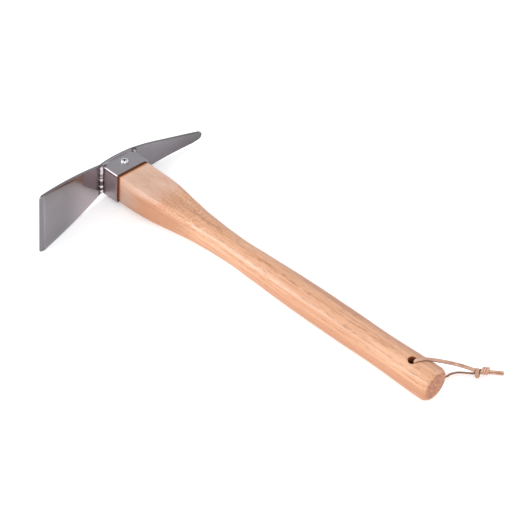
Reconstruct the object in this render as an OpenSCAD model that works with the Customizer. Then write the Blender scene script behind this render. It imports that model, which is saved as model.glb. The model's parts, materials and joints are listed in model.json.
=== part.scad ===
// Hand mattock: a short wooden handle in a folded steel box socket, with one steel plate across
// the socket's closed end that makes a broad hoe blade on one side and a narrow pick on the other.
// All sizes are in millimetres. The tool is built in its own axes, X towards the pick,
// Y towards the head and Z across the blade's width, and is then laid on the ground, Z up.

/* [Handle] */

// Length of the wood that shows, from the socket's rim to the butt
handle_length = 376; // [372:0.5:384]
// Diameter of the grip at its fullest
grip_diameter = 30.8; // [29:0.1:33]
// Diameter of the waist
waist_diameter = 26.2; // [24:0.1:28]
// Diameter of the flared butt
butt_diameter = 32; // [31:0.1:35]
// Rounding of the butt's edge
butt_round = 5.5; // [1:0.5:7]
// Diameter of the hang hole
hang_hole_diameter = 7.5; // [7:0.5:10]
// Distance from the butt to the hang hole's axis
hang_hole_inset = 25.7; // [20:0.1:30]
// Turn of the hang hole about the handle's length
hang_hole_turn = 13.5; // [0:0.5:20]

/* [Socket] */

// Socket width, across the head
socket_width = 40.4; // [38:0.2:44]
// Socket height, along the blade's width
socket_height = 33.9; // [32:0.1:36]
// Socket depth, along the handle
socket_depth = 21.7; // [20:0.1:28]
// How far the middle of the head lies below the grip's axis
head_drop = 0.6; // [0:0.1:1]
// Sheet thickness of the socket
socket_wall = 1.6; // [1.2:0.1:2]
// Outside radius of the socket's folds
fold_radius = 2.6; // [2.2:0.2:4]
// Width of the open seam along one fold
seam_gap = 0.5; // [0.3:0.1:0.8]

/* [Head plate] */

// Thickness of the plate
plate_thickness = 3; // [2:0.5:4]
// Reach of the hoe blade from the middle of the socket
hoe_reach = 110; // [100:1:125]
// Width of the hoe's cutting edge
hoe_width = 64.4; // [55:0.2:75]
// Reach of the pick from the middle of the socket
pick_reach = 104.7; // [95:0.1:115]
// Backward lean of the hoe blade
hoe_lean = 10.7; // [6:0.1:14]
// Length of the ground bevel behind the cutting edge
bevel_length = 4.5; // [3:0.5:8]
// Thickness left at the cutting edge
edge_thickness = 0.8; // [0.5:0.1:1.5]

/* [Screw] */

// Diameter of the screw's head
screw_head_diameter = 7.6; // [6.5:0.1:9]
// Diameter of the screw's shank
screw_shank_diameter = 4; // [3:0.1:4.4]
// Depth the shank reaches into the wood
screw_length = 14; // [10:1:18]

/* [Lace] */

// Width of the flat leather lace
lace_width = 3.2; // [2.8:0.1:3.8]
// Thickness of the flat leather lace
lace_thickness = 1.8; // [1.4:0.1:2]

/* [Hidden] */
eps = 0.01;
round_fn = 64;
half_w = socket_width / 2;
half_h = socket_height / 2;
wood_gap = 0.4;
wood_x = half_w - socket_wall - wood_gap;
wood_z = half_h - socket_wall - wood_gap;
tenon_end = socket_depth - 0.5;

wood_color = [0.84, 0.56, 0.36];
steel_color = [0.62, 0.62, 0.64];
weld_color = [0.72, 0.72, 0.74];
lace_color = [0.80, 0.62, 0.54];

function blend(a, b, t) = a + (b - a) * (3 * t * t - 2 * t * t * t);

// ---- handle -------------------------------------------------------------------------------

// Neck sections as [y, half width, half height, corner radius, drop of the middle].
waist_r = waist_diameter / 2;
grip_r = grip_diameter / 2;
butt_r = butt_diameter / 2;
neck = [
    [tenon_end, wood_x, wood_z, 1.3, head_drop],
    [-19, wood_x, wood_z, 1.4, head_drop],
    [-35, wood_x, wood_z - 0.5, 1.5, head_drop / 4],
    [-47, wood_x - 0.4, wood_z - 0.8, 2.2, 0],
    [-58, wood_x - 1.3, wood_z - 0.9, 3.8, 0],
    [-69, wood_x - 2.2, wood_z - 1.1, 6, 0],
    [-80, wood_x - 2.9, wood_z - 1.2, 8, 0],
    [-91, wood_x - 3.4, wood_z - 1.3, 10.4, 0],
    [-102, waist_r + 1.35, waist_r + 0.6, 12, 0],
    [-113, waist_r + 0.95, waist_r + 0.6, 13, 0],
    [-124, waist_r + 0.45, waist_r + 0.45, waist_r + 0.44, 0],
];
corner_steps = 8;
ring_size = 4 * (corner_steps + 1);

function corner_x(c) = (c == 0 || c == 3) ? 1 : -1;
function corner_z(c) = (c < 2) ? 1 : -1;
function section(s) = [
    for (c = [0:3], k = [0:corner_steps])
        let (a = 90 * c + 90 * k / corner_steps)
            [corner_x(c) * (s[1] - s[3]) + s[3] * cos(a), s[0],
             corner_z(c) * (s[2] - s[3]) + s[3] * sin(a) - s[4]]
];

module loft(rings) {
    n = len(rings[0]);
    last = len(rings) - 1;
    polyhedron(
        points = [for (r = rings, p = r) p],
        faces = concat(
            [[for (k = [0:n - 1]) k]],
            [for (i = [0:last - 1], k = [0:n - 1])
                [i * n + k, (i + 1) * n + k, (i + 1) * n + (k + 1) % n, i * n + (k + 1) % n]],
            [[for (k = [n - 1:-1:0]) last * n + k]]
        ),
        convexity = 4
    );
}

// Radius of the turned part at a distance d behind the rim.
function turned_r(d) =
    d < 145 ? blend(waist_r + 0.6, waist_r, (d - 120) / 25)
    : d < 177 ? blend(waist_r, waist_r + 0.9, (d - 145) / 32)
    : d < 241 ? waist_r + 0.9 + (grip_r - waist_r - 0.9) * sin(90 * (d - 177) / 64)
    : d < 276 ? grip_r
    : d < 311 ? blend(grip_r, grip_r - 0.5, (d - 276) / 35)
    : blend(grip_r - 0.5, butt_r, min(1, (d - 311) / (handle_length - 319)));

turned_start = 122;
turned_steps = 48;
turned_end = handle_length - butt_round;

module turned_grip() {
    rotate([90, 0, 0])
        rotate_extrude($fn = round_fn)
            polygon(concat(
                [[0, turned_start]],
                [for (i = [0:turned_steps])
                    let (d = turned_start + (turned_end - turned_start) * i / turned_steps)
                        [turned_r(d), d]],
                [for (a = [15:15:90])
                    [turned_r(turned_end) - butt_round * (1 - cos(a)), turned_end + butt_round * sin(a)]],
                [[0, handle_length]]
            ));
}

hole_y = -(handle_length - hang_hole_inset);
mouth_ease = 1.2;
screw_y = socket_depth / 2 + 0.6;
pilot_diameter = screw_shank_diameter + 0.6;

// A straight hole with its two mouths eased.
module hang_hole() {
    rim_z = grip_r - mouth_ease;
    flare = 3 * mouth_ease;
    cylinder(h = butt_diameter * 2, d = hang_hole_diameter, center = true, $fn = 48);
    for (end = [0, 180])
        rotate([end, 0, 0])
            translate([0, 0, rim_z])
                cylinder(h = flare, d1 = hang_hole_diameter, d2 = hang_hole_diameter + 2 * flare,
                         $fn = 48);
}

module handle() {
    color(wood_color)
        difference() {
            union() {
                loft([for (s = neck) section(s)]);
                turned_grip();
            }
            translate([0, hole_y, 0])
                rotate([0, -hang_hole_turn, 0])
                    hang_hole();
            translate([0, screw_y, wood_z - head_drop - screw_length])
                cylinder(h = screw_length + 1, d = pilot_diameter, $fn = 32);
        }
}

// ---- socket -------------------------------------------------------------------------------

module round_box(w, h, r) {
    square([w - 2 * r, h], center = true);
    square([w, h - 2 * r], center = true);
    for (x = [-1, 1], z = [-1, 1])
        translate([x * (w / 2 - r), z * (h / 2 - r)])
            circle(r = r, $fn = round_fn);
}

module socket() {
    color(steel_color)
        difference() {
            translate([0, socket_depth, -head_drop])
                rotate([90, 0, 0])
                    linear_extrude(height = socket_depth)
                        difference() {
                            round_box(socket_width, socket_height, fold_radius);
                            round_box(socket_width - 2 * socket_wall, socket_height - 2 * socket_wall,
                                      fold_radius - socket_wall);
                        }
            // open seam where the sheet's two edges meet, in the hoe side's upper fold
            translate([-half_w - eps, -eps, half_h - head_drop - fold_radius - seam_gap])
                cube([socket_wall + 2 * eps, socket_depth + 2 * eps, seam_gap]);
            translate([0, screw_y, half_h - head_drop - socket_wall - 1])
                cylinder(h = socket_wall + 2, d = pilot_diameter, $fn = 32);
        }
}

// ---- head plate ---------------------------------------------------------------------------

// Front of the plate, the side towards the grip, as [x, y] from the hoe's edge to the pick's tip.
function hoe_front(x) = socket_depth - (-half_w - x) * tan(hoe_lean);
pick_run = pick_reach - half_w;
function pick_front(x) =
    let (t = (x - half_w) / pick_run) socket_depth - pick_run * (0.095 * t + 0.05 * t * t);
pick_grind = 12;
tip_thickness = 1.4;
pick_line = [for (t = [0.15:0.15:0.76]) half_w + pick_run * t];

module plate_band() {
    front = concat(
        [[-hoe_reach, hoe_front(-hoe_reach) + plate_thickness - edge_thickness],
         [-hoe_reach + bevel_length, hoe_front(-hoe_reach + bevel_length)],
         [-half_w, socket_depth], [half_w, socket_depth]],
        [for (x = pick_line) [x, pick_front(x)]],
        [[pick_reach - pick_grind, pick_front(pick_reach - pick_grind)],
         [pick_reach, pick_front(pick_reach) + plate_thickness - tip_thickness]]
    );
    back = concat(
        [[pick_reach, pick_front(pick_reach) + plate_thickness],
         [pick_reach - pick_grind, pick_front(pick_reach - pick_grind) + plate_thickness]],
        [for (i = [len(pick_line) - 1:-1:0]) [pick_line[i], pick_front(pick_line[i]) + plate_thickness]],
        [[half_w, socket_depth + plate_thickness], [-half_w, socket_depth + plate_thickness],
         [-hoe_reach, hoe_front(-hoe_reach) + plate_thickness]]
    );
    polygon(concat(front, back));
}

// The plate's outline as [x, z], z from the middle of the head. Going from the hoe's edge to the
// socket, t runs from 1 to 0. Going from the socket to the pick's tip, t runs from 0 to 1.
hoe_half = hoe_width / 2;
hoe_run = hoe_reach - half_w;
hoe_dip = 1.1;
plate_arch = 1;
function hoe_top(t) = half_h - hoe_dip * (1 - t) + (hoe_half - half_h) * (1.62 * t - 0.62 * t * t);
function hoe_low(t) = -half_h - (hoe_half - half_h) * (1.5 * t - 0.5 * t * t);
function hoe_x(t) = -half_w - hoe_run * t;
function back_top(x) = half_h + plate_arch - (x < 0 ? hoe_dip + plate_arch : plate_arch) * pow(x / half_w, 2);
pick_tip_r = 4.6;
pick_tip_z = 0.8;
tip_x = pick_reach - pick_tip_r;
top_corner_r = 4;
outline_steps = 10;
top_corner = [for (a = [180:-15:90])
    [-hoe_reach + top_corner_r * (1 + cos(a)), hoe_top(1) - 0.5 - top_corner_r * (1 - sin(a))]];
hoe_top_edge = [for (i = [outline_steps - 1:-1:1]) [hoe_x(i / outline_steps), hoe_top(i / outline_steps)]];
back_edge = [for (i = [-4:3]) [half_w * i / 4, back_top(half_w * i / 4)]];
pick_top_edge = [for (q = [[0, 0], [0.15, 1.2], [0.31, 3.1], [0.48, 5.6], [0.66, 8]])
    [half_w + pick_run * q[0], half_h - q[1]]];
tip_edge = [for (a = [78:-12:-78]) [tip_x + pick_tip_r * cos(a), pick_tip_z + pick_tip_r * sin(a)]];
pick_low_edge = [for (q = [[0.66, 9.9], [0.48, 7.5], [0.31, 4.9], [0.15, 2.4], [0, 0]])
    [half_w + pick_run * q[0], q[1] - half_h]];
hoe_low_edge = [for (i = [0:outline_steps]) [hoe_x(i / outline_steps), hoe_low(i / outline_steps)]];

module plate_outline() {
    polygon(concat(
        top_corner, hoe_top_edge, back_edge, pick_top_edge, tip_edge, pick_low_edge, hoe_low_edge
    ));
}

module head_plate() {
    color(steel_color)
        intersection() {
            translate([0, 0, -hoe_width])
                linear_extrude(height = 2 * hoe_width)
                    plate_band();
            translate([0, 2 * socket_depth, -head_drop])
                rotate([90, 0, 0])
                    linear_extrude(height = 4 * socket_depth)
                        plate_outline();
        }
}

// ---- welds --------------------------------------------------------------------------------

weld_leg = 2.6;
weld_gap = 0.03;
weld_steps = 66;
weld_half = half_h - 0.6;
weld_pitch = 2.7;
weld_bulge = 0.95;

// A rippled fillet: flat against the wall and the plate, bulged on the open side.
function bead_ring(z, side) =
    let (ripple = 0.82 + 0.18 * abs(sin(180 * z / weld_pitch)),
         tail = min(1, (weld_half - abs(z)) / 1.2 + 0.35),
         leg = weld_leg * ripple * tail,
         corner = [side * (half_w + weld_gap), socket_depth - weld_gap])
    concat(
        [[corner[0], corner[1], z]],
        [for (a = [0:15:90])
            [corner[0] + side * leg * weld_bulge * sin(a), corner[1] - leg * weld_bulge * cos(a), z]]
    );

module bead(side) {
    rings = [for (i = [0:weld_steps]) bead_ring(-weld_half + 2 * weld_half * i / weld_steps, side)];
    translate([0, 0, -head_drop])
        loft(side > 0 ? rings : [for (r = rings) [for (k = [len(r) - 1:-1:0]) r[k]]]);
}

module hoe_weld() {
    color(weld_color)
        bead(-1);
}

module pick_weld() {
    color(weld_color)
        bead(1);
}

// ---- screw --------------------------------------------------------------------------------

head_r = screw_head_diameter / 2;
head_height = 2.4;
seat_z = half_h - head_drop + 0.02;
screw_tip = 2;
recess = [4.4, 1.1, 3];

module socket_screw() {
    color(weld_color)
        difference() {
            union() {
                translate([0, screw_y, seat_z])
                    rotate_extrude($fn = round_fn)
                        polygon(concat(
                            [[0, 0], [head_r, 0], [head_r, head_height * 0.4]],
                            [for (a = [15:15:75])
                                [head_r - 1.5 * (1 - cos(a)), head_height * (0.4 + 0.6 * sin(a))]],
                            [[0, head_height]]
                        ));
                translate([0, screw_y, seat_z - screw_length + screw_tip])
                    cylinder(h = screw_length - screw_tip + 1, d = screw_shank_diameter, $fn = 32);
                translate([0, screw_y, seat_z - screw_length])
                    cylinder(h = screw_tip + eps, d1 = 1, d2 = screw_shank_diameter, $fn = 32);
            }
            // cross recess
            for (turn = [45, 135])
                translate([0, screw_y, seat_z + head_height])
                    rotate([0, 0, turn])
                        cube(recess, center = true);
        }
}

// ---- lying on the ground --------------------------------------------------------------------

// The tool rests on three points: the hoe's lower edge, where it bulges lowest a little in from
// its corner, the plate's lower edge where the pick begins, and the swell of the butt.
rest_t = 0.79;
rest_hoe = [hoe_x(rest_t), hoe_front(hoe_x(rest_t)), hoe_low(rest_t) - head_drop];
rest_pick = [half_w, socket_depth, -half_h - head_drop];
head_lean = atan2(rest_pick[2] - rest_hoe[2], rest_pick[0] - rest_hoe[0]);
rest_butt = [butt_r * sin(head_lean), -handle_length + butt_round, -butt_r * cos(head_lean)];
ground = cross(rest_butt - rest_hoe, rest_pick - rest_hoe);
up = ground / norm(ground) * sign(ground[2]);
roll = atan2(-up[0], up[2]);
pitch = atan2(up[1], norm([up[0], up[2]]));
lift = -(rest_hoe * up);
left_x = -hoe_reach * cos(roll) - (hoe_half + head_drop) * sin(roll);
right_x = tip_x * cos(roll) + (pick_tip_z - head_drop) * sin(roll) + pick_tip_r;
front_y = -handle_length;
back_y = socket_depth + plate_thickness;

module laid() {
    translate([-(left_x + right_x) / 2, -(front_y + back_y) / 2, lift])
        rotate([pitch, 0, 0])
            rotate([0, roll, 0])
                children();
}

// ---- lace -----------------------------------------------------------------------------------

// Route of the lace on the ground: out of the knot, over the grip, down the hang hole and back.
// Each point has a direction for the lace's width.
strand_route = [
    [48.6, -207.2, 6], [41.5, -202.1, 12.1], [34, -196.8, 17.7], [26, -191.2, 23], [18, -185.6, 27.5],
    [12.3, -182.9, 31], [8.1, -180.8, 32.5], [5, -179.1, 33], [3.4, -178, 32.6],
    [3, -177.4, 30.8], [3.4, -177.1, 27], [4, -176.6, 20], [5, -176.3, 12], [6.2, -176.3, 6],
    [7.6, -176.9, 2.7], [9.8, -178, 1.4], [14, -180.8, 1.2], [20, -185.6, 1.4],
    [26, -190.6, 1.8], [30.2, -192.7, 2], [33.6, -193.3, 2], [37.6, -195.3, 2],
    [40.9, -198.1, 2], [43.5, -201.5, 2], [46, -204.9, 2.1], [48.2, -207.7, 2.4],
];
strand_width = [
    [4, 3, 3], [4, 3, 3], [4, 3, 3], [4, 4, 2], [4, 5, 2],
    [4, 6, 1], [4, 6, 0], [3, 6, 0], [3, 5, 0],
    [3, 5, 0], [3, 5, 0], [3, 5, 0], [3, 5, 0], [3, 5, 0],
    [3, 5, 0], [3, 5, 0], [4, 5, 0], [4, 5, -2],
    [5, 5, -5], [5, 5, -7], [5, 5, -7], [5, 5, -7],
    [5, 5, -7], [5, 5, -7], [5, 5, -6], [4, 4, -3],
];
tail_a = [[56.6, -216.2, 4.9], [59.4, -219.2, 4.4], [62.4, -222.6, 3.9], [65.3, -226.3, 3.6]];
tail_b = [[55.6, -217, 3.6], [58.4, -220, 3.1], [61.4, -223.4, 2.6], [64.3, -227.1, 2.3]];
tail_width = [[5, 5, -7], [5, 5, -7], [5, 5, -7], [5, 5, -7]];
knot_at = [52.9, -211.7, 4.6];
knot_run = [6, -8, 0];

function spline(a, b, c, d, t) =
    b + (c - a) * t / 2 + (2 * a - 5 * b + 4 * c - d) * t * t / 2
    + (3 * b - a - 3 * c + d) * t * t * t / 2;
function curve(p, i, t) =
    let (last = len(p) - 1)
        spline(p[max(0, i - 1)], p[i], p[min(last, i + 1)], p[min(last, i + 2)], t);
function smooth(p, steps) = concat(
    [for (i = [0:len(p) - 2], k = [0:steps - 1]) curve(p, i, k / steps)],
    [p[len(p) - 1]]
);
function unit(v) = v / norm(v);

// Eight-sided flat section across the route at each ring.
flat = [[1, 0.45], [0.72, 1], [-0.72, 1], [-1, 0.45], [-1, -0.45], [-0.72, -1], [0.72, -1], [1, -0.45]];
function rings(p, w) = [
    for (i = [0:len(p) - 1])
        let (run = unit(p[min(len(p) - 1, i + 1)] - p[max(0, i - 1)]),
             thick = unit(cross(run, w[i])),
             wide = cross(thick, run))
            [for (q = flat) p[i] + wide * q[0] * lace_width / 2 + thick * q[1] * lace_thickness / 2]
];

module strap(route, width, steps) {
    r = rings(smooth(route, steps), smooth(width, steps));
    loft([for (s = r) [for (k = [len(s) - 1:-1:0]) s[k]]]);
}

module lace_strands() {
    color(lace_color)
        strap(strand_route, strand_width, 3);
}

module lace_tails() {
    color(lace_color) {
        strap(tail_a, tail_width, 2);
        strap(tail_b, tail_width, 2);
    }
}

wrap_r = 2.7;
wrap_cord_r = 1.4;
knot_core = 9;
// Turns of the knot as [place along it, lean]
turns = [[-3, -14], [0.2, 14], [3.1, 14]];

module along(v) {
    rotate([0, acos(v[2] / norm(v)), atan2(v[1], v[0])])
        children();
}

// The overhand knot: a bight that hangs down and two wraps round the doubled lace.
module lace_knot() {
    color(lace_color)
        translate(knot_at)
            along(knot_run) {
                cylinder(h = knot_core, r = wrap_r - wrap_cord_r / 4, center = true, $fn = 32);
                for (s = turns)
                    translate([0, 0, s[0]])
                        rotate([s[1], 0, 0])
                            rotate_extrude($fn = 32)
                                translate([wrap_r, 0])
                                    circle(r = wrap_cord_r, $fn = 16);
            }
}

laid() handle();
laid() socket();
laid() head_plate();
laid() hoe_weld();
laid() pick_weld();
laid() socket_screw();
lace_strands();
lace_knot();
lace_tails();
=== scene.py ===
"""A hand mattock lying on a pale floor: wooden handle, welded steel head and a knotted leather lace."""

import json
import math

import bmesh
import bpy
from mathutils import Matrix, Vector, noise


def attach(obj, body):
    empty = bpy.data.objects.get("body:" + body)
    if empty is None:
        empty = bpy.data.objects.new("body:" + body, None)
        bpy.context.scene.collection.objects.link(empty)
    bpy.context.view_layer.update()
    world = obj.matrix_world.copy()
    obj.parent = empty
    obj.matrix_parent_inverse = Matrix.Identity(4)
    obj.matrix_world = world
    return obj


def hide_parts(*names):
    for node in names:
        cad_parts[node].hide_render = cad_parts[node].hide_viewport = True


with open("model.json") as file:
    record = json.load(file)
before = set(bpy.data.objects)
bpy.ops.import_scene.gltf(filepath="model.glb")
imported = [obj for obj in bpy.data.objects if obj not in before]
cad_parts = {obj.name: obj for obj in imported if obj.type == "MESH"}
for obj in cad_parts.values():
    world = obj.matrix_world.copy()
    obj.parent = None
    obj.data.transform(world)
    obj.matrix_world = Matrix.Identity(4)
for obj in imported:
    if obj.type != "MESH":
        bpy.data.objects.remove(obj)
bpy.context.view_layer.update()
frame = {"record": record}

MM = 0.001

# ---- the tool's own axes ---------------------------------------------------------------------
# X towards the pick, Y towards the head and Z across the blade, from the middle of the socket's
# rim, in millimetres. The tool lies rolled and pitched onto its three points of rest.

ROLL = math.radians(6.885)
butt_mount = next(m for m in frame["record"]["mounts"] if m["name"] == "butt_face")
PITCH = math.atan2(-butt_mount["axis"][2], -butt_mount["axis"][1])
HANDLE_LENGTH = 376
HOLE_R = 7.5 / 2
HOLE_INSET = 25.7
HOLE_TURN = math.radians(13.5)
TURN = Matrix.Rotation(PITCH, 3, "X") @ Matrix.Rotation(ROLL, 3, "Y")
RIM = Vector(butt_mount["pos_m"]) + TURN @ Vector((0, HANDLE_LENGTH * MM, 0))


def lay(point):
    """A point in the tool's axes, in millimetres, as a point of the frame in metres."""
    return RIM + TURN @ (Vector(point) * MM)


# ---- camera ----------------------------------------------------------------------------------

camera_data = bpy.data.cameras.new("camera")
camera_data.sensor_width = 36
camera_data.lens = 103.9
camera_data.clip_end = 20
camera = bpy.data.objects.new("camera", camera_data)
bpy.context.collection.objects.link(camera)
camera.location = (-0.67912, -0.67719, 0.98458)
camera.rotation_euler = (math.radians(45.21), math.radians(1.0), math.radians(-46.12))
bpy.context.scene.camera = camera

# ---- mesh helpers ----------------------------------------------------------------------------


def add_object(name, mesh):
    piece = bpy.data.objects.new(name, mesh)
    bpy.context.collection.objects.link(piece)
    return piece


def make_piece(name, points, faces, materials, sharp=35, second=None):
    """A piece from points in the frame, in metres, shaded smooth up to the sharp angle.

    second says, face by face, which ones take the second material."""
    mesh = bpy.data.meshes.new(name)
    mesh.from_pydata([tuple(p) for p in points], [], faces)
    if second:
        mesh.polygons.foreach_set("material_index", [int(s) for s in second])
    work = bmesh.new()
    work.from_mesh(mesh)
    bmesh.ops.remove_doubles(work, verts=work.verts, dist=1e-6)
    bmesh.ops.recalc_face_normals(work, faces=work.faces)
    work.to_mesh(mesh)
    work.free()
    for material in materials:
        mesh.materials.append(material)
    shade(mesh, sharp)
    return add_object(name, mesh)


def shade(mesh, sharp):
    mesh.shade_smooth()
    mesh.set_sharp_from_angle(angle=math.radians(sharp))


def loft(rings):
    """Points and faces of a tube through rings of equal size. The last two faces are its caps."""
    size = len(rings[0])
    points = [p for ring in rings for p in ring]
    faces = []
    for i in range(len(rings) - 1):
        for k in range(size):
            a = i * size + k
            b = i * size + (k + 1) % size
            faces.append((a, b, b + size, a + size))
    faces.append(tuple(range(size)))
    faces.append(tuple((len(rings) - 1) * size + k for k in range(size)))
    return points, faces


def rounded(piece, width, segments=2, angle=40):
    """Rounds a piece's sharp edges and keeps the result in its mesh."""
    bevel = piece.modifiers.new("bevel", "BEVEL")
    bevel.width = width * MM
    bevel.segments = segments
    bevel.limit_method = "ANGLE"
    bevel.angle_limit = math.radians(angle)
    apply_modifiers(piece)


def apply_modifiers(piece):
    graph = bpy.context.evaluated_depsgraph_get()
    mesh = bpy.data.meshes.new_from_object(piece.evaluated_get(graph))
    piece.modifiers.clear()
    piece.data = mesh
    shade(mesh, 35)


def subtract(piece, cutter):
    cut = piece.modifiers.new("cut", "BOOLEAN")
    cut.object = cutter
    cut.operation = "DIFFERENCE"
    cut.solver = "EXACT"
    apply_modifiers(piece)
    bpy.data.objects.remove(cutter)


def blend(a, b, t):
    t = min(1, max(0, t))
    return a + (b - a) * (3 * t * t - 2 * t * t * t)


def spline(points, steps):
    """A smooth curve through points, with steps spans between each pair."""
    points = [Vector(p) for p in points]
    out = []
    for i in range(len(points) - 1):
        a = points[max(0, i - 1)]
        b, c = points[i], points[i + 1]
        d = points[min(len(points) - 1, i + 2)]
        for k in range(steps):
            t = k / steps
            out.append(
                b + (c - a) * t / 2 + (2 * a - 5 * b + 4 * c - d) * t * t / 2
                + (3 * b - a - 3 * c + d) * t * t * t / 2
            )
    out.append(points[-1])
    return out


# ---- materials -------------------------------------------------------------------------------


class Nodes:
    """A short way to write a material's node tree."""

    def __init__(self, name):
        self.material = bpy.data.materials.new(name)
        self.material.use_nodes = True
        self.tree = self.material.node_tree
        self.shader = self.tree.nodes["Principled BSDF"]

    def set(self, **values):
        for key, value in values.items():
            self.shader.inputs[key.replace("_", " ")].default_value = value

    def add(self, kind, **settings):
        node = self.tree.nodes.new(kind)
        inputs = settings.pop("inputs", {})
        for key, value in settings.items():
            setattr(node, key, value)
        for key, value in inputs.items():
            if isinstance(value, bpy.types.NodeSocket):
                self.tree.links.new(value, node.inputs[key])
            else:
                node.inputs[key].default_value = value
        return node

    def link(self, socket, name):
        self.tree.links.new(socket, self.shader.inputs[name])

    def tool_axes(self):
        """The surface point in the tool's own axes, in metres."""
        origin = -(TURN.transposed() @ RIM)
        place = self.add("ShaderNodeTexCoord").outputs["Object"]
        mapping = self.add("ShaderNodeMapping", vector_type="POINT", inputs={"Vector": place})
        mapping.inputs["Rotation"].default_value = (-PITCH, -ROLL, 0)
        mapping.inputs["Location"].default_value = origin
        return mapping.outputs["Vector"]

    def stretched(self, vector, scale):
        node = self.add("ShaderNodeVectorMath", operation="MULTIPLY", inputs={0: vector, 1: scale})
        return node.outputs["Vector"]

    def noise(self, vector, scale, detail=3, roughness=0.5):
        values = {"Vector": vector, "Scale": scale, "Detail": detail, "Roughness": roughness}
        return self.add("ShaderNodeTexNoise", inputs=values).outputs["Fac"]

    def math(self, operation, a, b=0.0, c=0.0):
        values = {0: a, 1: b, 2: c}
        node = self.add("ShaderNodeMath", operation=operation, inputs=values)
        return node.outputs["Value"]

    def ramp(self, value, stops):
        node = self.add("ShaderNodeValToRGB", inputs={"Fac": value})
        elements = node.color_ramp.elements
        while len(elements) < len(stops):
            elements.new(0.5)
        for element, (position, color) in zip(elements, stops):
            element.position = position
            element.color = (*color, 1)
        return node.outputs["Color"]

    def fade(self, value, low, high):
        values = {"Value": value, "From Min": low, "From Max": high, "To Min": 0.0, "To Max": 1.0}
        node = self.add("ShaderNodeMapRange", interpolation_type="SMOOTHSTEP", inputs=values)
        return node.outputs["Result"]

    def mix(self, factor, a, b):
        node = self.add("ShaderNodeMix", data_type="RGBA")
        for key, value in (("Factor", factor), ("A", a), ("B", b)):
            socket = next(s for s in node.inputs if s.name == key and s.enabled)
            if isinstance(value, bpy.types.NodeSocket):
                self.tree.links.new(value, socket)
            elif key == "Factor":
                socket.default_value = value
            else:
                socket.default_value = (*value, 1)
        return next(s for s in node.outputs if s.enabled)

    def bump(self, height, distance, strength=1.0):
        values = {"Height": height, "Distance": distance, "Strength": strength}
        node = self.add("ShaderNodeBump", inputs=values)
        self.tree.links.new(node.outputs["Normal"], self.shader.inputs["Normal"])


def srgb(r, g, b):
    """A colour given in screen values from 0 to 255, as linear light."""
    return tuple(
        v / 255 / 12.92 if v / 255 <= 0.04045 else ((v / 255 + 0.055) / 1.055) ** 2.4
        for v in (r, g, b)
    )


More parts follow.
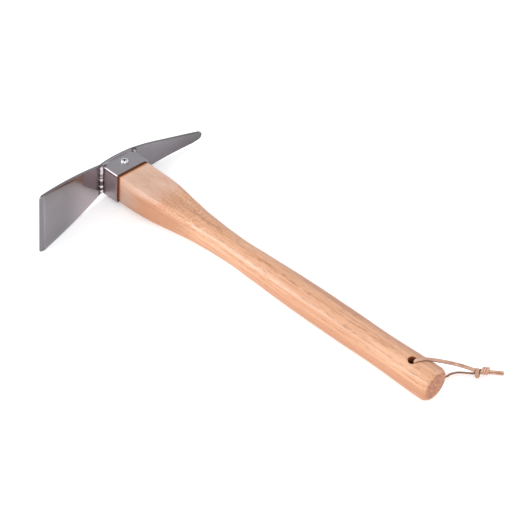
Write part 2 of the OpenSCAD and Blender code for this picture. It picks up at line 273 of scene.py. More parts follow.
def wood_material():
    n = Nodes("oiled_ash")
    place = n.tool_axes()
    axes = n.add("ShaderNodeSeparateXYZ", inputs={"Vector": place}).outputs
    # growth rings round a pith well outside the handle, wandering slowly along it
    wander = n.noise(n.stretched(place, (18, 2.2, 18)), 1.0, detail=2)
    pith = n.add("ShaderNodeVectorMath", operation="ADD", inputs={0: place, 1: (0.020, 0, 0.075)})
    flat = n.stretched(pith.outputs["Vector"], (1, 0.012, 1))
    far = n.add("ShaderNodeVectorMath", operation="LENGTH", inputs={0: flat}).outputs["Value"]
    rings = n.math("MULTIPLY_ADD", wander, 0.014, far)
    wave = n.math("SINE", n.math("MULTIPLY", rings, 2 * math.pi / 0.0046))
    early = n.math("POWER", n.math("MULTIPLY_ADD", wave, 0.5, 0.5), 2.5)
    # short dark pores and fine fibres along the length
    fibre = n.noise(n.stretched(place, (2100, 38, 2100)), 1.0, detail=4, roughness=0.62)
    pores = n.noise(n.stretched(place, (1500, 105, 1500)), 1.0, detail=2, roughness=0.5)
    open_pores = n.math("MULTIPLY_ADD", n.fade(axes["Z"], 0.004, 0.012), 0.05, pores)
    pore_mask = n.fade(n.math("MULTIPLY_ADD", early, 0.10, open_pores), 0.64, 0.74)
    cloud = n.noise(n.stretched(place, (45, 8, 45)), 1.0, detail=3)
    base = n.ramp(
        cloud,
        [(0.28, srgb(192, 141, 108)), (0.5, srgb(206, 157, 124)), (0.72, srgb(218, 172, 141))],
    )
    base = n.mix(n.math("MULTIPLY", early, 0.22), base, srgb(178, 124, 86))
    fibre_mask = n.fade(fibre, 0.42, 0.72)
    base = n.mix(n.math("MULTIPLY", fibre_mask, 0.32), base, srgb(160, 110, 76))
    # darker and lighter streaks along the length
    streak = n.noise(n.stretched(place, (700, 13, 700)), 1.0, detail=4, roughness=0.75)
    base = n.mix(n.math("MULTIPLY", n.fade(streak, 0.50, 0.64), 0.55), base, srgb(178, 116, 78))
    base = n.mix(n.math("MULTIPLY", n.fade(streak, 0.49, 0.34), 0.40), base, srgb(222, 176, 145))
    # painted shade: the lower half of the neck is darker
    lower = n.math("MULTIPLY", n.fade(axes["Z"], 0.0105, 0.003), n.fade(axes["Y"], -0.110, -0.070))
    base = n.mix(n.math("MULTIPLY", lower, 0.80), base, srgb(164, 110, 76))
    base = n.mix(n.math("MULTIPLY", pore_mask, 0.50), base, srgb(128, 84, 56))
    # short open pores where the top of the neck cuts across the grain
    specks = n.noise(n.stretched(place, (1150, 330, 1150)), 1.0, detail=2, roughness=0.6)
    cut = n.math("MULTIPLY", n.fade(axes["Y"], -0.150, -0.085), n.fade(axes["Y"], -0.014, -0.034))
    cut = n.math("MULTIPLY", cut, n.fade(axes["Z"], 0.004, 0.010))
    specks = n.math("MULTIPLY", n.fade(specks, 0.53, 0.62), cut)
    base = n.mix(n.math("MULTIPLY", specks, 0.72), base, srgb(156, 98, 62))
    # painted shade: the flanks of the turned part are darker towards its outline
    flank_shade = n.math("MULTIPLY_ADD", axes["X"], 0.81, n.math("MULTIPLY", axes["Z"], 0.58))
    flank_shade = n.fade(n.math("ABSOLUTE", flank_shade), 0.0085, 0.0148)
    flank_shade = n.math("MULTIPLY", flank_shade, n.fade(axes["Y"], -0.060, -0.130))
    base = n.mix(n.math("MULTIPLY", flank_shade, 0.75), base, srgb(170, 110, 74))
    # paler, duller wood next to the socket, further along on the top face than on the side
    edge = n.noise(n.stretched(place, (60, 30, 60)), 1.0, detail=4)
    top = n.fade(axes["Z"], 0.004, 0.0135)
    along = n.math("MULTIPLY_ADD", edge, 0.030, axes["Y"])
    along = n.math("MULTIPLY_ADD", top, 0.026, along)
    raw = n.fade(along, -0.022, 0.008)
    pale = n.mix(n.fade(edge, 0.35, 0.7), srgb(194, 160, 140), srgb(205, 172, 154))
    base = n.mix(n.math("MULTIPLY", raw, 0.80), base, pale)
    base = n.mix(n.math("MULTIPLY", fibre_mask, n.math("MULTIPLY", raw, 0.25)), base, srgb(150, 112, 90))
    # warm patches where the pale wood ends
    patch = n.noise(n.stretched(place, (150, 55, 150)), 1.0, detail=4, roughness=0.6)
    border = n.math("MULTIPLY", n.fade(axes["Y"], -0.100, -0.050), n.fade(axes["Y"], -0.004, -0.020))
    patch = n.math("MULTIPLY", n.fade(patch, 0.50, 0.64), border)
    base = n.mix(n.math("MULTIPLY", patch, 0.30), base, srgb(186, 124, 84))
    # dark wood inside the socket's mouth and in the groove round it: partly stain, partly painted shade
    # where the groove lies in shadow; the eased edge before it is browner
    ease = n.fade(axes["Y"], -0.0046, -0.0026)
    base = n.mix(n.math("MULTIPLY", ease, 0.8), base, srgb(196, 134, 92))
    stain_and_shade = n.fade(axes["Y"], -0.0021, -0.0011)
    base = n.mix(stain_and_shade, base, srgb(142, 82, 50))
    # painted shade inside the hang hole
    sine, cosine = math.sin(HOLE_TURN), math.cos(HOLE_TURN)
    side = n.math("MULTIPLY_ADD", axes["Z"], sine, n.math("MULTIPLY", axes["X"], cosine))
    lengthwise = n.math("ADD", axes["Y"], (HANDLE_LENGTH - HOLE_INSET) * MM)
    out = n.math("ADD", n.math("POWER", side, 2), n.math("POWER", lengthwise, 2))
    bore = n.math("SUBTRACT", 1.0, n.fade(n.math("SQRT", out), 3.8 * MM, 4.3 * MM))
    base = n.mix(bore, base, srgb(136, 76, 48))
    # the end grain is darker
    butt = n.fade(axes["Y"], -(HANDLE_LENGTH - 1.6) * MM, -(HANDLE_LENGTH - 0.1) * MM)
    slant = n.add("ShaderNodeMapping", inputs={"Vector": place})
    slant.inputs["Rotation"].default_value = (0, math.radians(45), 0)
    ends = n.noise(n.stretched(slant.outputs["Vector"], (700, 20, 110)), 1.0, detail=3)
    end_color = n.mix(n.fade(ends, 0.35, 0.65), srgb(122, 60, 24), srgb(172, 100, 44))
    base = n.mix(n.math("MULTIPLY", butt, 0.85), base, end_color)
    n.link(base, "Base Color")
    gloss = n.math("MULTIPLY_ADD", cloud, 0.10, 0.38)
    gloss = n.math("MULTIPLY_ADD", raw, 0.24, gloss)
    n.link(gloss, "Roughness")
    grain = n.math("MULTIPLY_ADD", pore_mask, -0.8, n.math("MULTIPLY", fibre, 0.5))
    n.bump(grain, 0.00010, 0.5)
    n.set(Specular_IOR_Level=0.5, Coat_Weight=0.10, Coat_Roughness=0.25)
    return n.material


def steel_material(name, color, roughness, stretch, warm=(1, 1, 1)):
    """Brushed steel, with fine scratches along the axis that has the smallest stretch."""
    n = Nodes(name)
    place = n.tool_axes()
    axes = n.add("ShaderNodeSeparateXYZ", inputs={"Vector": place}).outputs
    lines = n.noise(n.stretched(place, stretch), 1.0, detail=5, roughness=0.65)
    cloud = n.noise(place, 45.0, detail=3)
    shade = n.math("MULTIPLY_ADD", lines, 0.35, n.math("MULTIPLY", cloud, 0.25))
    dark = tuple(c * 0.88 for c in color)
    light = tuple(min(1, c * 1.10) for c in color)
    base = n.ramp(shade, [(0.15, dark), (0.45, light)])
    # painted darker reflection: the sheet darkens towards the pick's tip
    tip_dark_reflection = n.fade(axes["X"], 0.030, 0.105)
    base = n.mix(tip_dark_reflection, base, tuple(c * 0.60 for c in color))
    # painted reflection: the corner by the hoe is brighter and warmer; the sheet is also darker close
    # beside the welds
    beside = n.math("SUBTRACT", n.math("ABSOLUTE", axes["X"]), HALF_W * MM)
    below = n.math("SUBTRACT", DEPTH * MM, axes["Y"])
    reach = n.math("SQRT", n.math("ADD", n.math("POWER", beside, 2), n.math("POWER", below, 2)))
    reach = n.math("MULTIPLY_ADD", cloud, 0.004, reach)
    lean_back = n.math("MULTIPLY", n.math("MAXIMUM", beside, 0.0), LEAN)
    front = n.math("SUBTRACT", 1.0, n.fade(n.math("SUBTRACT", lean_back, below), 0.6 * MM, 1.6 * MM))
    corner = n.math("MULTIPLY", n.fade(axes["X"], -0.0185, -0.0200), n.fade(axes["X"], -0.078, -0.034))
    corner = n.math("MULTIPLY", corner, front)
    base = n.mix(corner, base, tuple(c * w for c, w in zip(color, warm)))
    weld_dark = n.math("SUBTRACT", 1.0, n.fade(reach, 0.0050, 0.0078))
    weld_dark = n.math("MULTIPLY", weld_dark, n.math("MULTIPLY_ADD", front, 0.65, 0.20))
    base = n.mix(weld_dark, base, (color[0] * 0.20, color[1] * 0.15, color[2] * 0.14))
    # the blade's upper part is painted a little darker, and painted shade on the ground edge tones down
    # its brighter reflection
    high = n.fade(axes["Z"], 0.015, 0.030)
    base = n.mix(n.math("MULTIPLY", high, 0.8), base, tuple(c * 0.80 for c in color))
    ground = n.fade(axes["X"], -0.1045, -0.1060)
    base = n.mix(ground, base, tuple(c * 0.72 for c in color))
    # painted highlight: the sliver of plate that stands above the socket is lighter
    sliver_highlight = n.math("MULTIPLY", n.fade(beside, -0.0006, -0.0022), n.fade(below, 0.0012, 0.0004))
    base = n.mix(n.math("MULTIPLY", sliver_highlight, front), base, tuple(c * 1.9 for c in color))
    n.link(base, "Base Color")
    rough = n.math("MULTIPLY_ADD", lines, 0.12, roughness - 0.06)
    n.link(n.math("MULTIPLY_ADD", cloud, 0.06, rough), "Roughness")
    n.bump(lines, 0.00003, 0.25)
    n.set(Metallic=1.0)
    return n.material


def weld_material():
    """Painted glints and painted shade in patches that take turns along the bead, for the ripples'
    reflections.
    """
    n = Nodes("weld_steel")
    place = n.tool_axes()
    axes = n.add("ShaderNodeSeparateXYZ", inputs={"Vector": place}).outputs
    patch = n.noise(n.stretched(place, (90, 90, 330)), 1.0, detail=2)
    # painted glint: the upper end of the bead by the pick is bright
    end = n.math("MULTIPLY", n.fade(axes["Z"], 0.0118, 0.0135), n.fade(axes["X"], 0.0, 0.01))
    patch = n.math("MULTIPLY_ADD", end, 0.5, patch)
    fine = n.noise(place, 900.0, detail=4)
    base = n.ramp(
        patch,
        [(0.40, srgb(72, 58, 54)), (0.50, srgb(142, 130, 128)), (0.58, srgb(208, 202, 204))],
    )
    base = n.mix(n.math("MULTIPLY", fine, 0.3), base, srgb(120, 100, 92))
    n.link(base, "Base Color")
    n.link(n.math("MULTIPLY_ADD", fine, 0.2, 0.2), "Roughness")
    n.bump(fine, 0.00006, 0.4)
    n.set(Metallic=1.0)
    return n.material


def screw_material():
    n = Nodes("screw_steel")
    place = n.tool_axes()
    axes = n.add("ShaderNodeSeparateXYZ", inputs={"Vector": place}).outputs
    lines = n.noise(n.stretched(place, (900, 900, 200)), 1.0, detail=4)
    base = n.ramp(lines, [(0.3, srgb(206, 206, 208)), (0.6, srgb(232, 232, 234))])
    # painted shade: the cross recess is dark inside
    across = n.math("POWER", axes["X"], 2)
    along = n.math("POWER", n.math("SUBTRACT", axes["Y"], SCREW_Y * MM), 2)
    out = n.math("SQRT", n.math("ADD", across, along))
    within = n.math("SUBTRACT", 1.0, n.fade(out, 2.65 * MM, 2.95 * MM))
    deep = n.fade(axes["Z"], (SEAT + 2.1) * MM, (SEAT + 1.5) * MM)
    base = n.mix(n.math("MULTIPLY", within, deep), base, srgb(34, 32, 34))
    n.link(base, "Base Color")
    n.set(Metallic=1.0, Roughness=0.16)
    return n.material


def lace_material(name, tone):
    n = Nodes(name)
    place = n.add("ShaderNodeTexCoord").outputs["Object"]
    grain = n.noise(place, 1400.0, detail=4, roughness=0.6)
    cloud = n.noise(place, 160.0, detail=3)
    shades = [(0.3, srgb(162, 120, 98)), (0.55, srgb(186, 145, 122)), (0.8, srgb(204, 166, 145))]
    base = n.ramp(cloud, [(p, tuple(c * tone for c in color)) for p, color in shades])
    base = n.mix(n.math("MULTIPLY", n.fade(grain, 0.5, 0.75), 0.35), base, srgb(128, 88, 70))
    n.link(base, "Base Color")
    n.link(n.math("MULTIPLY_ADD", cloud, 0.2, 0.5), "Roughness")
    n.bump(grain, 0.00008, 0.6)
    return n.material


HALF_W = 40.4 / 2
HALF_H = 33.9 / 2
DEPTH = 21.7
HEAD_DROP = 0.6
LEAN = math.tan(math.radians(10.7))
SCREW_Y = DEPTH / 2 + 0.6
SEAT = HALF_H - HEAD_DROP + 0.02
wood = wood_material()
# the warm factors paint a brighter, warmer reflection on the plate and socket by the hoe
plate_steel = steel_material(
    "plate_steel", srgb(136, 132, 136), 0.12, (90, 60, 2400), warm=(1.84, 1.72, 1.68)
)
# painted shade: the plate's edge faces take a darker steel
shaded_edge_steel = steel_material("shaded_edge_steel", srgb(122, 118, 121), 0.35, (60, 2400, 2400))
socket_steel = steel_material(
    "socket_steel", srgb(147, 143, 147), 0.34, (2400, 60, 2400), warm=(1.22, 1.08, 1.06)
)
weld_steel = weld_material()
screw_steel = screw_material()
leather = lace_material("lace_leather", 1.0)
# the cut edges are darker leather, and darker still with painted shade
cut_edge_shaded = lace_material("lace_cut_edge_shaded", 0.32)
# painted highlight: a lighter copy of the lace for the knot's turns and the tails
highlit_lace = lace_material("lace_highlit", 1.06)

# ---- lace ------------------------------------------------------------------------------------

LACE_WIDTH = 3.2
LACE_THICKNESS = 1.8
# The lace's route in the frame, in millimetres, as in the CAD: out of the knot, over the grip,
# down the hang hole and back to the knot. Each point has a direction for the lace's width.
STRAND_ROUTE = [
    (48.6, -207.2, 6), (41.5, -202.1, 12.1), (34, -196.8, 17.7), (26, -191.2, 23), (18, -185.6, 27.5),
    (12.3, -182.9, 31), (8.1, -180.8, 32.5), (5, -179.1, 33), (3.4, -178, 32.6),
    (3, -177.4, 30.8), (3.4, -177.1, 27), (4, -176.6, 20), (5, -176.3, 12), (6.2, -176.3, 6),
    (7.6, -176.9, 2.7), (9.8, -178, 1.4), (14, -180.8, 1.2), (20, -185.6, 1.4),
    (26, -190.6, 1.8), (30.2, -192.7, 2), (33.6, -193.3, 2), (37.6, -195.3, 2),
    (40.9, -198.1, 2), (43.5, -201.5, 2), (46, -204.9, 2.1), (48.2, -207.7, 2.4),
]
STRAND_WIDTH = [
    (4, 3, 3), (4, 3, 3), (4, 3, 3), (4, 4, 2), (4, 5, 2),
    (4, 6, 1), (4, 6, 0), (3, 6, 0), (3, 5, 0),
    (3, 5, 0), (3, 5, 0), (3, 5, 0), (3, 5, 0), (3, 5, 0),
    (3, 5, 0), (3, 5, 0), (4, 5, 0), (4, 5, -2),
    (5, 5, -5), (5, 5, -7), (5, 5, -7), (5, 5, -7),
    (5, 5, -7), (5, 5, -7), (5, 5, -6), (4, 4, -3),
]
MIDDLE = 11
TAIL_A = [(56.6, -216.2, 4.9), (59.4, -219.2, 4.4), (62.4, -222.6, 3.9), (65.3, -226.3, 3.6)]
TAIL_B = [(55.6, -217, 3.6), (58.4, -220, 3.1), (61.4, -223.4, 2.6), (64.3, -227.1, 2.3)]

# The knot's own axes: along the doubled lace, up from the ground and towards the front.
KNOT_AT = Vector((52.9, -211.7, 4.4))
KNOT_RUN = Vector((6, -8, 0)).normalized()
KNOT_OUT = Vector((-0.565, -0.424, 0.708))
KNOT_UP = KNOT_OUT.cross(KNOT_RUN)


def knot_point(u, v, w):
    return KNOT_AT + KNOT_RUN * u + KNOT_UP * v + KNOT_OUT * w


TURNS = 3
TURN_R = 1.95
TURN_PITCH = 2.1
TURN_SLANT = 3.4


def strap_section(count=24, power=3.2):
    """A flat lace's cut across: a soft-cornered oblong, as fractions of its half sizes."""
    out = []
    for k in range(count):
        a = 2 * math.pi * (k + 0.5) / count
        c, s = math.cos(a), math.sin(a)
        out.append(
            (math.copysign(abs(c) ** (2 / power), c), math.copysign(abs(s) ** (2 / power), s))
        )
    return out


def strap_mesh(route, widths, steps):
    """A flat lace along a route in millimetres: points, faces, cut edges and centreline."""
    centres = spline(route, steps)
    sides = spline(widths, steps)
    section = strap_section()
    rings = []
    for i, centre in enumerate(centres):
        run = (centres[min(len(centres) - 1, i + 1)] - centres[max(0, i - 1)]).normalized()
        thick = run.cross(sides[i]).normalized()
        wide = thick.cross(run)
        wear = 1 + 0.05 * noise.noise(centre * 0.35)
        half_width = LACE_WIDTH / 2 * wear
        half_thickness = LACE_THICKNESS / 2
        rings.append(
            [(centre + wide * u * half_width + thick * v * half_thickness) * MM for u, v in section]
        )
    points, faces = loft(rings)
    side_on = [abs(u) > 0.90 for u, v in section]
    edges = [side_on[k] and side_on[(k + 1) % len(section)] for k in range(len(section))]
    edges = edges * (len(rings) - 1) + [True, True]
    return points, faces, edges, [tuple(c * MM) for c in centres]


def strap(name, route, widths, edge=None):
    """A flat lace as a piece, and its centreline."""
    points, faces, edges, line = strap_mesh(route, widths, 8)
    return make_piece(name, points, faces, [leather, edge or cut_edge_shaded], 60, edges), line


def make_knot():
    """The knot in the doubled lace: a bight that hangs down in front, and turns round the lace."""
    bight = [
        (-1.0, 0.4, -0.8), (-2.2, 0.9, 0.1), (-3.2, 0.7, 1.5), (-3.7, -0.8, 2.6), (-3.7, -2.7, 3.1),
        (-3.5, -4.5, 2.8), (-3.2, -5.5, 1.8), (-2.9, -4.7, 0.9), (-2.5, -3.0, 0.2),
        (-2.0, -1.4, -0.6), (-0.8, -0.4, -0.8),
    ]
    bight_points, faces, second, _ = strap_mesh(
        [knot_point(*p) for p in bight], [KNOT_RUN] * len(bight), 6
    )
    points = list(bight_points)
    # the lace stands on edge in the turns: it runs along the knot in front and a little back behind
    places, sides = [], []
    steps = 14
    for i in range(TURNS * steps + 1):
        turn = i / steps
        angle = 2 * math.pi * turn
        front, back = min(1, 2 * (turn % 1)), max(0, 2 * (turn % 1) - 1)
        along = -1.3 + TURN_PITCH * int(turn) + TURN_SLANT * front - (TURN_SLANT - TURN_PITCH) * back
        up, out = -math.cos(angle), math.sin(angle)
        places.append(knot_point(along, 0.5 + TURN_R * up, TURN_R * out))
        sides.append(KNOT_UP * up + KNOT_OUT * out)
    turn_points, turn_faces, _, _ = strap_mesh(places, sides, 3)
    faces += [tuple(k + len(points) for k in face) for face in turn_faces]
    second += [2] * len(turn_faces)
    points += turn_points
    materials = [leather, cut_edge_shaded, highlit_lace]
    return make_piece("lace_knot_turns", points, faces, materials, 60, second)


inside = [knot_point(-2.5, 0.8, -0.2), knot_point(-2.5, -0.5, -0.2)]
upper_route = STRAND_ROUTE[MIDDLE::-1] + [tuple(inside[0])]
lower_route = STRAND_ROUTE[MIDDLE:] + [tuple(inside[1])]
upper_lace, upper_line = strap(
    "lace_upper_strand", upper_route, STRAND_WIDTH[MIDDLE::-1] + STRAND_WIDTH[:1]
)
lower_lace, lower_line = strap(
    "lace_lower_strand", lower_route, STRAND_WIDTH[MIDDLE:] + STRAND_WIDTH[-1:]
)
tail_width = [(5, 5, -7)] * (len(TAIL_A) + 1)
tail_a, _ = strap(
    "lace_tail_upper", [tuple(knot_point(2.5, 0.9, 0.2))] + TAIL_A, tail_width, highlit_lace
)
tail_b, _ = strap(
    "lace_tail_lower", [tuple(knot_point(2.5, -0.3, 0.2))] + TAIL_B, tail_width, highlit_lace
)
knot = make_knot()

for piece in (upper_lace, lower_lace, knot, tail_a, tail_b):
    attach(piece, "root")
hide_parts("lace_strands")
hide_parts("lace_knot")
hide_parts("lace_tails")

# ---- handle ----------------------------------------------------------------------------------

GRIP_R = 30.8 / 2
WAIST_R = 26.2 / 2
BUTT_R = 32 / 2
BUTT_ROUND = 5.5
# Sections behind the rim: distance, half width, half height, corner radius, drop of the middle.
NECK = [
    (3.9, 18.35, 15.05, 1.0, 0.6), (19, 18.3, 15.0, 1.3, 0.6), (35, 18.2, 14.5, 1.6, 0.15),
    (47, 17.75, 14.15, 2.3, 0), (58, 16.9, 14.05, 3.9, 0), (69, 16.0, 13.85, 6, 0),
    (80, 15.3, 13.75, 8, 0), (91, 14.8, 13.65, 10.4, 0), (102, 14.45, 13.7, 12, 0),
    (113, 14.05, 13.7, 13, 0), (124, 13.55, 13.55, 13.5, 0),
]


def turned_radius(d):
    """Radius of the turned part of the handle, d behind the rim."""
    if d < 145:
        return blend(WAIST_R + 0.6, WAIST_R, (d - 120) / 25)
    if d < 177:
        return blend(WAIST_R, WAIST_R + 0.9, (d - 145) / 32)
    if d < 241:
        return WAIST_R + 0.9 + (GRIP_R - WAIST_R - 0.9) * math.sin(math.pi / 2 * (d - 177) / 64)
    if d < 276:
        return GRIP_R
    if d < 311:
        return blend(GRIP_R, GRIP_R - 0.5, (d - 276) / 35)
    return blend(GRIP_R - 0.5, BUTT_R, (d - 311) / (HANDLE_LENGTH - 319))


def neck_section(d):
    """(half width, half height, corner radius, drop) of the neck, d behind the rim."""
    i = max(k for k in range(len(NECK) - 1) if NECK[k][0] <= d or k == 0)
    rows = [NECK[max(0, i - 1)], NECK[i], NECK[i + 1], NECK[min(len(NECK) - 1, i + 2)]]
    t = min(1, max(0, (d - NECK[i][0]) / (NECK[i + 1][0] - NECK[i][0])))
    a, b, c, e = (Vector(r[1:]) for r in rows)
    return tuple(
        b + (c - a) * t / 2 + (2 * a - 5 * b + 4 * c - e) * t * t / 2
        + (3 * b - a - 3 * c + e) * t * t * t / 2
    )


CORNER_STEPS = 14


def handle_ring(d, half_w, half_h, corner, drop=0.0):
    """A rounded oblong across the handle, as points in the frame."""
    ring = []
    for quarter, (sx, sz) in enumerate(((1, 1), (-1, 1), (-1, -1), (1, -1))):
        for k in range(CORNER_STEPS + 1):
            a = math.radians(90 * quarter + 90 * k / CORNER_STEPS)
            ring.append(
                lay(
                    (
                        sx * (half_w - corner) + corner * math.cos(a),
                        -d,
                        sz * (half_h - corner) + corner * math.sin(a) - drop,
                    )
                )
            )
        # one point in the middle of each flat keeps the long faces even
        if quarter % 2 == 0:
            ring.append(lay((0, -d, sz * half_h - drop)))
        else:
            ring.append(lay((sx * half_w, -d, -drop)))
    return ring


def make_handle():
    rings = [
        handle_ring(d, w, h, r, HEAD_DROP)
        for d, w, h, r in (
            (-21.2, 17.5, 14.2, 1.0),
            (0.9, 17.5, 14.2, 1.0),
            (1.1, 17.7, 14.4, 0.9),
            (2.0, 18.0, 14.75, 0.9),
            (3.0, 18.25, 14.95, 0.9),
        )
    ]
    distance = 3.9
    while distance < 124:
        rings.append(handle_ring(distance, *neck_section(distance)))
        distance += 2.2
    straight_end = HANDLE_LENGTH - BUTT_ROUND
    count = 110
    for i in range(count + 1):
        d = 125 + (straight_end - 125) * i / count
        r = turned_radius(d)
        rings.append(handle_ring(d, r, r, r - 0.02))
    end_r = turned_radius(straight_end)
    for i in range(1, 8):
        a = math.pi / 2 * i / 7
        r = end_r - BUTT_ROUND * (1 - math.cos(a))
        rings.append(handle_ring(straight_end + BUTT_ROUND * math.sin(a), r, r, r - 0.02))
    points, faces = loft(rings)
    return make_piece("handle_wood", points, faces, [wood], sharp=50)


HOLE_EASE = 1.2


def make_hole_cutter():
    """The hang hole as a solid: a straight bore whose two mouths are eased."""
    start = GRIP_R - HOLE_EASE
    half = [(HOLE_R, 0), (HOLE_R, start)]
    for i in range(1, 9):
        a = math.pi / 2 * i / 8
        half.append((HOLE_R + HOLE_EASE * (1 - math.cos(a)), start + 1.6 * HOLE_EASE * math.sin(a)))
    half.append((HOLE_R + HOLE_EASE, start + 6))
    profile = [(r, -z) for r, z in reversed(half[1:])] + half
    turn = Matrix.Rotation(-HOLE_TURN, 3, "Y")
    middle = Vector((0, HOLE_INSET - HANDLE_LENGTH, 0))
    rings = []
    for r, z in profile:
        ring = []
        for k in range(48):
            a = 2 * math.pi * k / 48
            ring.append(lay(middle + turn @ Vector((r * math.cos(a), r * math.sin(a), z))))
        rings.append(ring)
    points, faces = loft(rings)
    return make_piece("hole_cutter", points, faces, [wood])


handle = make_handle()
subtract(handle, make_hole_cutter())
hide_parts("handle")

# ---- socket ----------------------------------------------------------------------------------

WALL = 1.6
FOLD = 2.6
SEAM = 0.45


def fold_path(inset):
    """The folded sheet's outline from one side of the open seam round to the other, as (x, z)."""
    w, h, r = HALF_W - inset, HALF_H - inset, FOLD - inset
    seam_z = HALF_H - FOLD - SEAM
    path = [(-w, seam_z - 0.2)]
    for quarter, (sx, sz) in ((2, (-1, -1)), (3, (1, -1)), (0, (1, 1)), (1, (-1, 1))):
        for k in range(9):
            a = math.radians(90 * quarter + 90 * k / 8)
            path.append((sx * (w - r) + r * math.cos(a), sz * (h - r) + r * math.sin(a)))
    path.append((-w, seam_z + SEAM))
    return path


def make_socket():
    outer, inner = fold_path(0), fold_path(WALL)
    rings = []
    for y in (0, 4, 9, 14, 19, DEPTH - 0.03):
        rings.append([lay((x, y, z - HEAD_DROP)) for x, z in outer + inner[::-1]])
    points, faces = loft(rings)
    size = len(rings[0])
    faces = faces[:-2]
    half = len(outer)
    for base in (0, (len(rings) - 1) * size):
        for k in range(half - 1):
            faces.append((base + k, base + k + 1, base + size - 2 - k, base + size - 1 - k))
    piece = make_piece("socket_box", points, faces, [socket_steel])
    rounded(piece, 0.3, 2, 50)
    return piece


socket = make_socket()
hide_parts("socket")

# ---- head plate ------------------------------------------------------------------------------

PLATE = 3.0
HOE_REACH = 110
HOE_HALF = 64.4 / 2
PICK_REACH = 104.7
BEVEL = 4.5
EDGE = 0.8
PICK_RUN = PICK_REACH - HALF_W
TIP_R = 4.6
TOP_CORNER = 4.0
GRIND = 12
HOE_DIP = 1.1
OUT_OF_SQUARE = 1.6
ARCH = 1.0
TIP_Z = 0.8
PICK_TOP = [(0, 0), (0.15, 1.2), (0.31, 3.1), (0.48, 5.6), (0.66, 8.0)]
PICK_LOW = [(0, 0), (0.15, 2.4), (0.31, 4.9), (0.48, 7.5), (0.66, 9.9)]


def plate_front(x):
    """Where the plate's front lies, the side towards the grip."""
    if x < -HALF_W:
        return DEPTH - (-HALF_W - x) * LEAN
    if x > HALF_W:
        t = (x - HALF_W) / PICK_RUN
        return DEPTH - PICK_RUN * (0.095 * t + 0.05 * t * t)
    return DEPTH


def ground_off(x):
    """How much the bevels take off the plate's front at x."""
    if x < -HOE_REACH + BEVEL:
        return (PLATE - EDGE) * (1 - (x + HOE_REACH) / BEVEL)
    if x > PICK_REACH - GRIND:
        return 1.6 * (x - PICK_REACH + GRIND) / GRIND
    return 0


def through(points, x):
    """The height at x of a smooth line through points, flat at neither end."""
    i = max(k for k in range(len(points) - 1) if points[k][0] <= x or k == 0)
    a, b = points[max(0, i - 1)], points[i]
    c, e = points[i + 1], points[min(len(points) - 1, i + 2)]
    wide = c[0] - b[0]
    s = (x - b[0]) / wide
    rise_b = (c[1] - a[1]) / (c[0] - a[0]) * wide
    rise_c = (e[1] - b[1]) / (e[0] - b[0]) * wide
    return (
        b[1] * (2 * s**3 - 3 * s**2 + 1) + rise_b * (s**3 - 2 * s**2 + s)
        + c[1] * (-2 * s**3 + 3 * s**2) + rise_c * (s**3 - s**2)
    )


def plate_edge(x, upper):
    """Height of the plate's upper or lower edge at x, from the middle of the head."""
    side = 1 if upper else -1
    if x <= -HALF_W:
        t = (-HALF_W - x) / (HOE_REACH - HALF_W)
        bulge = 0.62 if upper else 0.5
        rise = HALF_H + (HOE_HALF - HALF_H) * ((1 + bulge) * t - bulge * t * t)
        if upper:
            rise -= HOE_DIP * (1 - t)
        corner = TOP_CORNER if upper else 0.8
        inset = x + HOE_REACH
        if inset < corner:
            rise -= corner - math.sqrt(max(0, corner**2 - (corner - inset) ** 2))
        return side * rise
    if x <= HALF_W:
        sag = HOE_DIP + ARCH if x < 0 else ARCH
        return HALF_H + ARCH - sag * (x / HALF_W) ** 2 if upper else -HALF_H
    tip_x = PICK_REACH - TIP_R
    join = tip_x + TIP_R * 0.2
    if x > join:
        return TIP_Z + side * math.sqrt(max(0, TIP_R**2 - (x - tip_x) ** 2))
    drops = PICK_TOP if upper else PICK_LOW
    line = [(HALF_W + PICK_RUN * t, side * (HALF_H - drop)) for t, drop in drops]
    return through(line + [(join, TIP_Z + side * TIP_R * 0.98)], x)


def plate_columns():
    """Stations across the head, close together where the outline curves."""
    columns = [-HOE_REACH + TOP_CORNER * (1 - math.cos(math.pi / 2 * i / 8)) for i in range(9)]
    columns += [-HOE_REACH + BEVEL]
    x = -HOE_REACH + BEVEL + 1.5
    while x < -HALF_W - 0.5:
        columns.append(x)
        x += 3.4
    columns += [HALF_W * i / 6 for i in range(-6, 7)]
    x = HALF_W + 3.0
    while x < 90:
        columns.append(x)
        x += 3.0
    columns += [PICK_REACH - GRIND, 95.5, 98]
    columns += [PICK_REACH - TIP_R + TIP_R * math.sin(math.pi / 2 * i / 8) for i in range(9)]
    return sorted(columns)


def make_plate():
    rows = 15
    rings = []
    for x in plate_columns():
        high, low = plate_edge(x, True), plate_edge(x, False)
        front = plate_front(x) + ground_off(x)
        back = plate_front(x) + PLATE
        levels = [low + (high - low) * k / (rows - 1) for k in range(rows)]
        skew = OUT_OF_SQUARE * max(0, (-x - 60) / (HOE_REACH - 60)) ** 2
        slid = [x + skew * max(0, (z + HOE_HALF) / (2 * HOE_HALF)) for z in levels]
        ring = [lay((u, front, z - HEAD_DROP)) for u, z in zip(slid, levels)]
        ring += [lay((u, back, z - HEAD_DROP)) for u, z in zip(slid[::-1], levels[::-1])]
        rings.append(ring)
    points, faces = loft(rings)
    size = 2 * rows
    faces = faces[:-2]
    for base in (0, (len(rings) - 1) * size):
        for k in range(rows - 1):
            faces.append((base + k, base + k + 1, base + size - 2 - k, base + size - 1 - k))
    strips = len(rings) - 1
    edges = ([k % rows == rows - 1 for k in range(size)]) * strips + [True] * (2 * (rows - 1))
    piece = make_piece("head_plate_steel", points, faces, [plate_steel, shaded_edge_steel], 35, edges)
    rounded(piece, 0.3, 2, 50)
    return piece


plate = make_plate()
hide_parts("head_plate")

# ---- welds -----------------------------------------------------------------------------------

WELD_LEG = 2.7
WELD_PITCH = 2.7


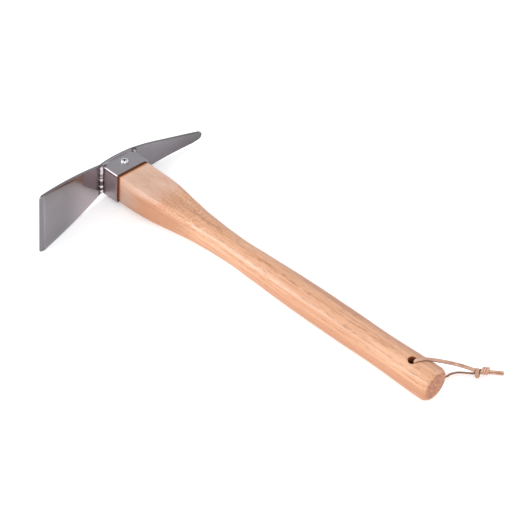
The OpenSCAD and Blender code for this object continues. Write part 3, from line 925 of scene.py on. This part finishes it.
def make_weld(name, side):
    """A rippled fillet in the corner between the socket's wall and the plate."""
    rings = []
    steps = 190
    half = HALF_H - 0.5
    for i in range(steps + 1):
        z = -half + 2 * half * i / steps
        tail = min(1, ((half - abs(z)) / 1.6 + 0.12) ** 0.5)
        ring = []
        for k in range(15):
            a = math.pi / 2 * k / 14
            # each ripple is a crescent that trails at the bead's two edges
            trail = 0.45 * math.sin(2 * a)
            saw = (z / WELD_PITCH + trail + 0.12 * noise.noise(Vector((z * 0.5, side, 0)))) % 1
            ripple = 0.80 + 0.24 * math.sin(math.pi * saw) ** 0.7
            bulge = 1 + 0.10 * math.sin(2 * a)
            leg = WELD_LEG * tail * ripple * bulge
            ring.append(
                lay(
                    (
                        side * (HALF_W + leg * math.sin(a)),
                        DEPTH - leg * math.cos(a) - 0.02,
                        z - HEAD_DROP,
                    )
                )
            )
        ring.append(lay((side * (HALF_W - 0.4), DEPTH + 0.5, z - HEAD_DROP)))
        rings.append(ring)
    points, faces = loft(rings)
    return make_piece(name, points, faces, [weld_steel], sharp=70)


for name, node, side in (
    ("hoe_weld_bead", "hoe_weld", -1),
    ("pick_weld_bead", "pick_weld", 1),
):
    bead = make_weld(name, side)
    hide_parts(node)
    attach(bead, "root")

# ---- screw -----------------------------------------------------------------------------------

SCREW_R = 3.8
HEAD = 2.4


def make_screw():
    """A pan head on a plain shank, before its recess is cut."""
    profile = [(0, -12), (0.5, -12), (2.0, -10), (2.0, 0), (SCREW_R, 0), (SCREW_R, 0.9)]
    for i in range(1, 9):
        a = math.pi / 2 * i / 8
        profile.append((SCREW_R - 1.7 * (1 - math.cos(a)), 0.9 + (HEAD - 0.9) * math.sin(a)))
    profile += [(1.2, HEAD + 0.02), (0, HEAD + 0.02)]
    rings = []
    for r, z in profile:
        rings.append(
            [
                lay(
                    (
                        max(r, 0.001) * math.cos(2 * math.pi * k / 48),
                        SCREW_Y + max(r, 0.001) * math.sin(2 * math.pi * k / 48),
                        SEAT + z,
                    )
                )
                for k in range(48)
            ]
        )
    points, faces = loft(rings)
    return make_piece("screw_pan_head", points, faces, [screw_steel])


def make_recess():
    """A tapered cross, as one solid."""
    long, short = 2.5, 0.7
    order = []
    for quarter in range(4):
        a = math.radians(45 + 90 * quarter)
        ux, uy = math.cos(a), math.sin(a)
        vx, vy = -uy, ux
        order.append((ux * long - vx * short, uy * long - vy * short))
        order.append((ux * long + vx * short, uy * long + vy * short))
        order.append((ux * short + vx * short, uy * short + vy * short))
    rings = []
    for z, size in ((HEAD + 1, 1.0), (HEAD - 0.4, 0.95), (HEAD - 1.6, 0.62)):
        rings.append([lay((x * size, SCREW_Y + y * size, SEAT + z)) for x, y in order])
    points, faces = loft(rings)
    return make_piece("recess_cutter", points, faces, [screw_steel])


screw = make_screw()
subtract(screw, make_recess())
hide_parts("socket_screw")
for piece in (handle, socket, plate, screw):
    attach(piece, "root")

# ---- floor and light -------------------------------------------------------------------------

floor_mesh = bpy.data.meshes.new("floor")
floor_mesh.from_pydata([(-4, -4, 0), (4, -4, 0), (4, 4, 0), (-4, 4, 0)], [], [(0, 1, 2, 3)])
floor_nodes = Nodes("floor_white")
floor_nodes.set(Base_Color=(0.93, 0.93, 0.93, 1), Roughness=0.9, Specular_IOR_Level=0.1)
floor_nodes.set(Emission_Color=(1, 1, 1, 1), Emission_Strength=0.27)
floor_mesh.materials.append(floor_nodes.material)
floor = add_object("floor", floor_mesh)
floor.location.z = -0.0003


def area_light(name, place, size, power):
    """A square light that faces the middle of the frame."""
    data = bpy.data.lights.new(name, "AREA")
    data.size = size
    data.energy = power
    light = bpy.data.objects.new(name, data)
    bpy.context.collection.objects.link(light)
    light.location = place
    light.rotation_euler = (-Vector(place)).to_track_quat("-Z", "Y").to_euler()


area_light("key", (-1.10, 0.85, 0.85), 0.4, 13)
area_light("fill", (-0.9, -1.4, 0.8), 1.2, 11)

world = bpy.data.worlds.new("studio")
world.use_nodes = True
world.node_tree.nodes["Background"].inputs["Color"].default_value = (0.97, 0.98, 1.0, 1)
world.node_tree.nodes["Background"].inputs["Strength"].default_value = 1.0
bpy.context.scene.world = world
bpy.context.scene.view_settings.view_transform = "Standard"
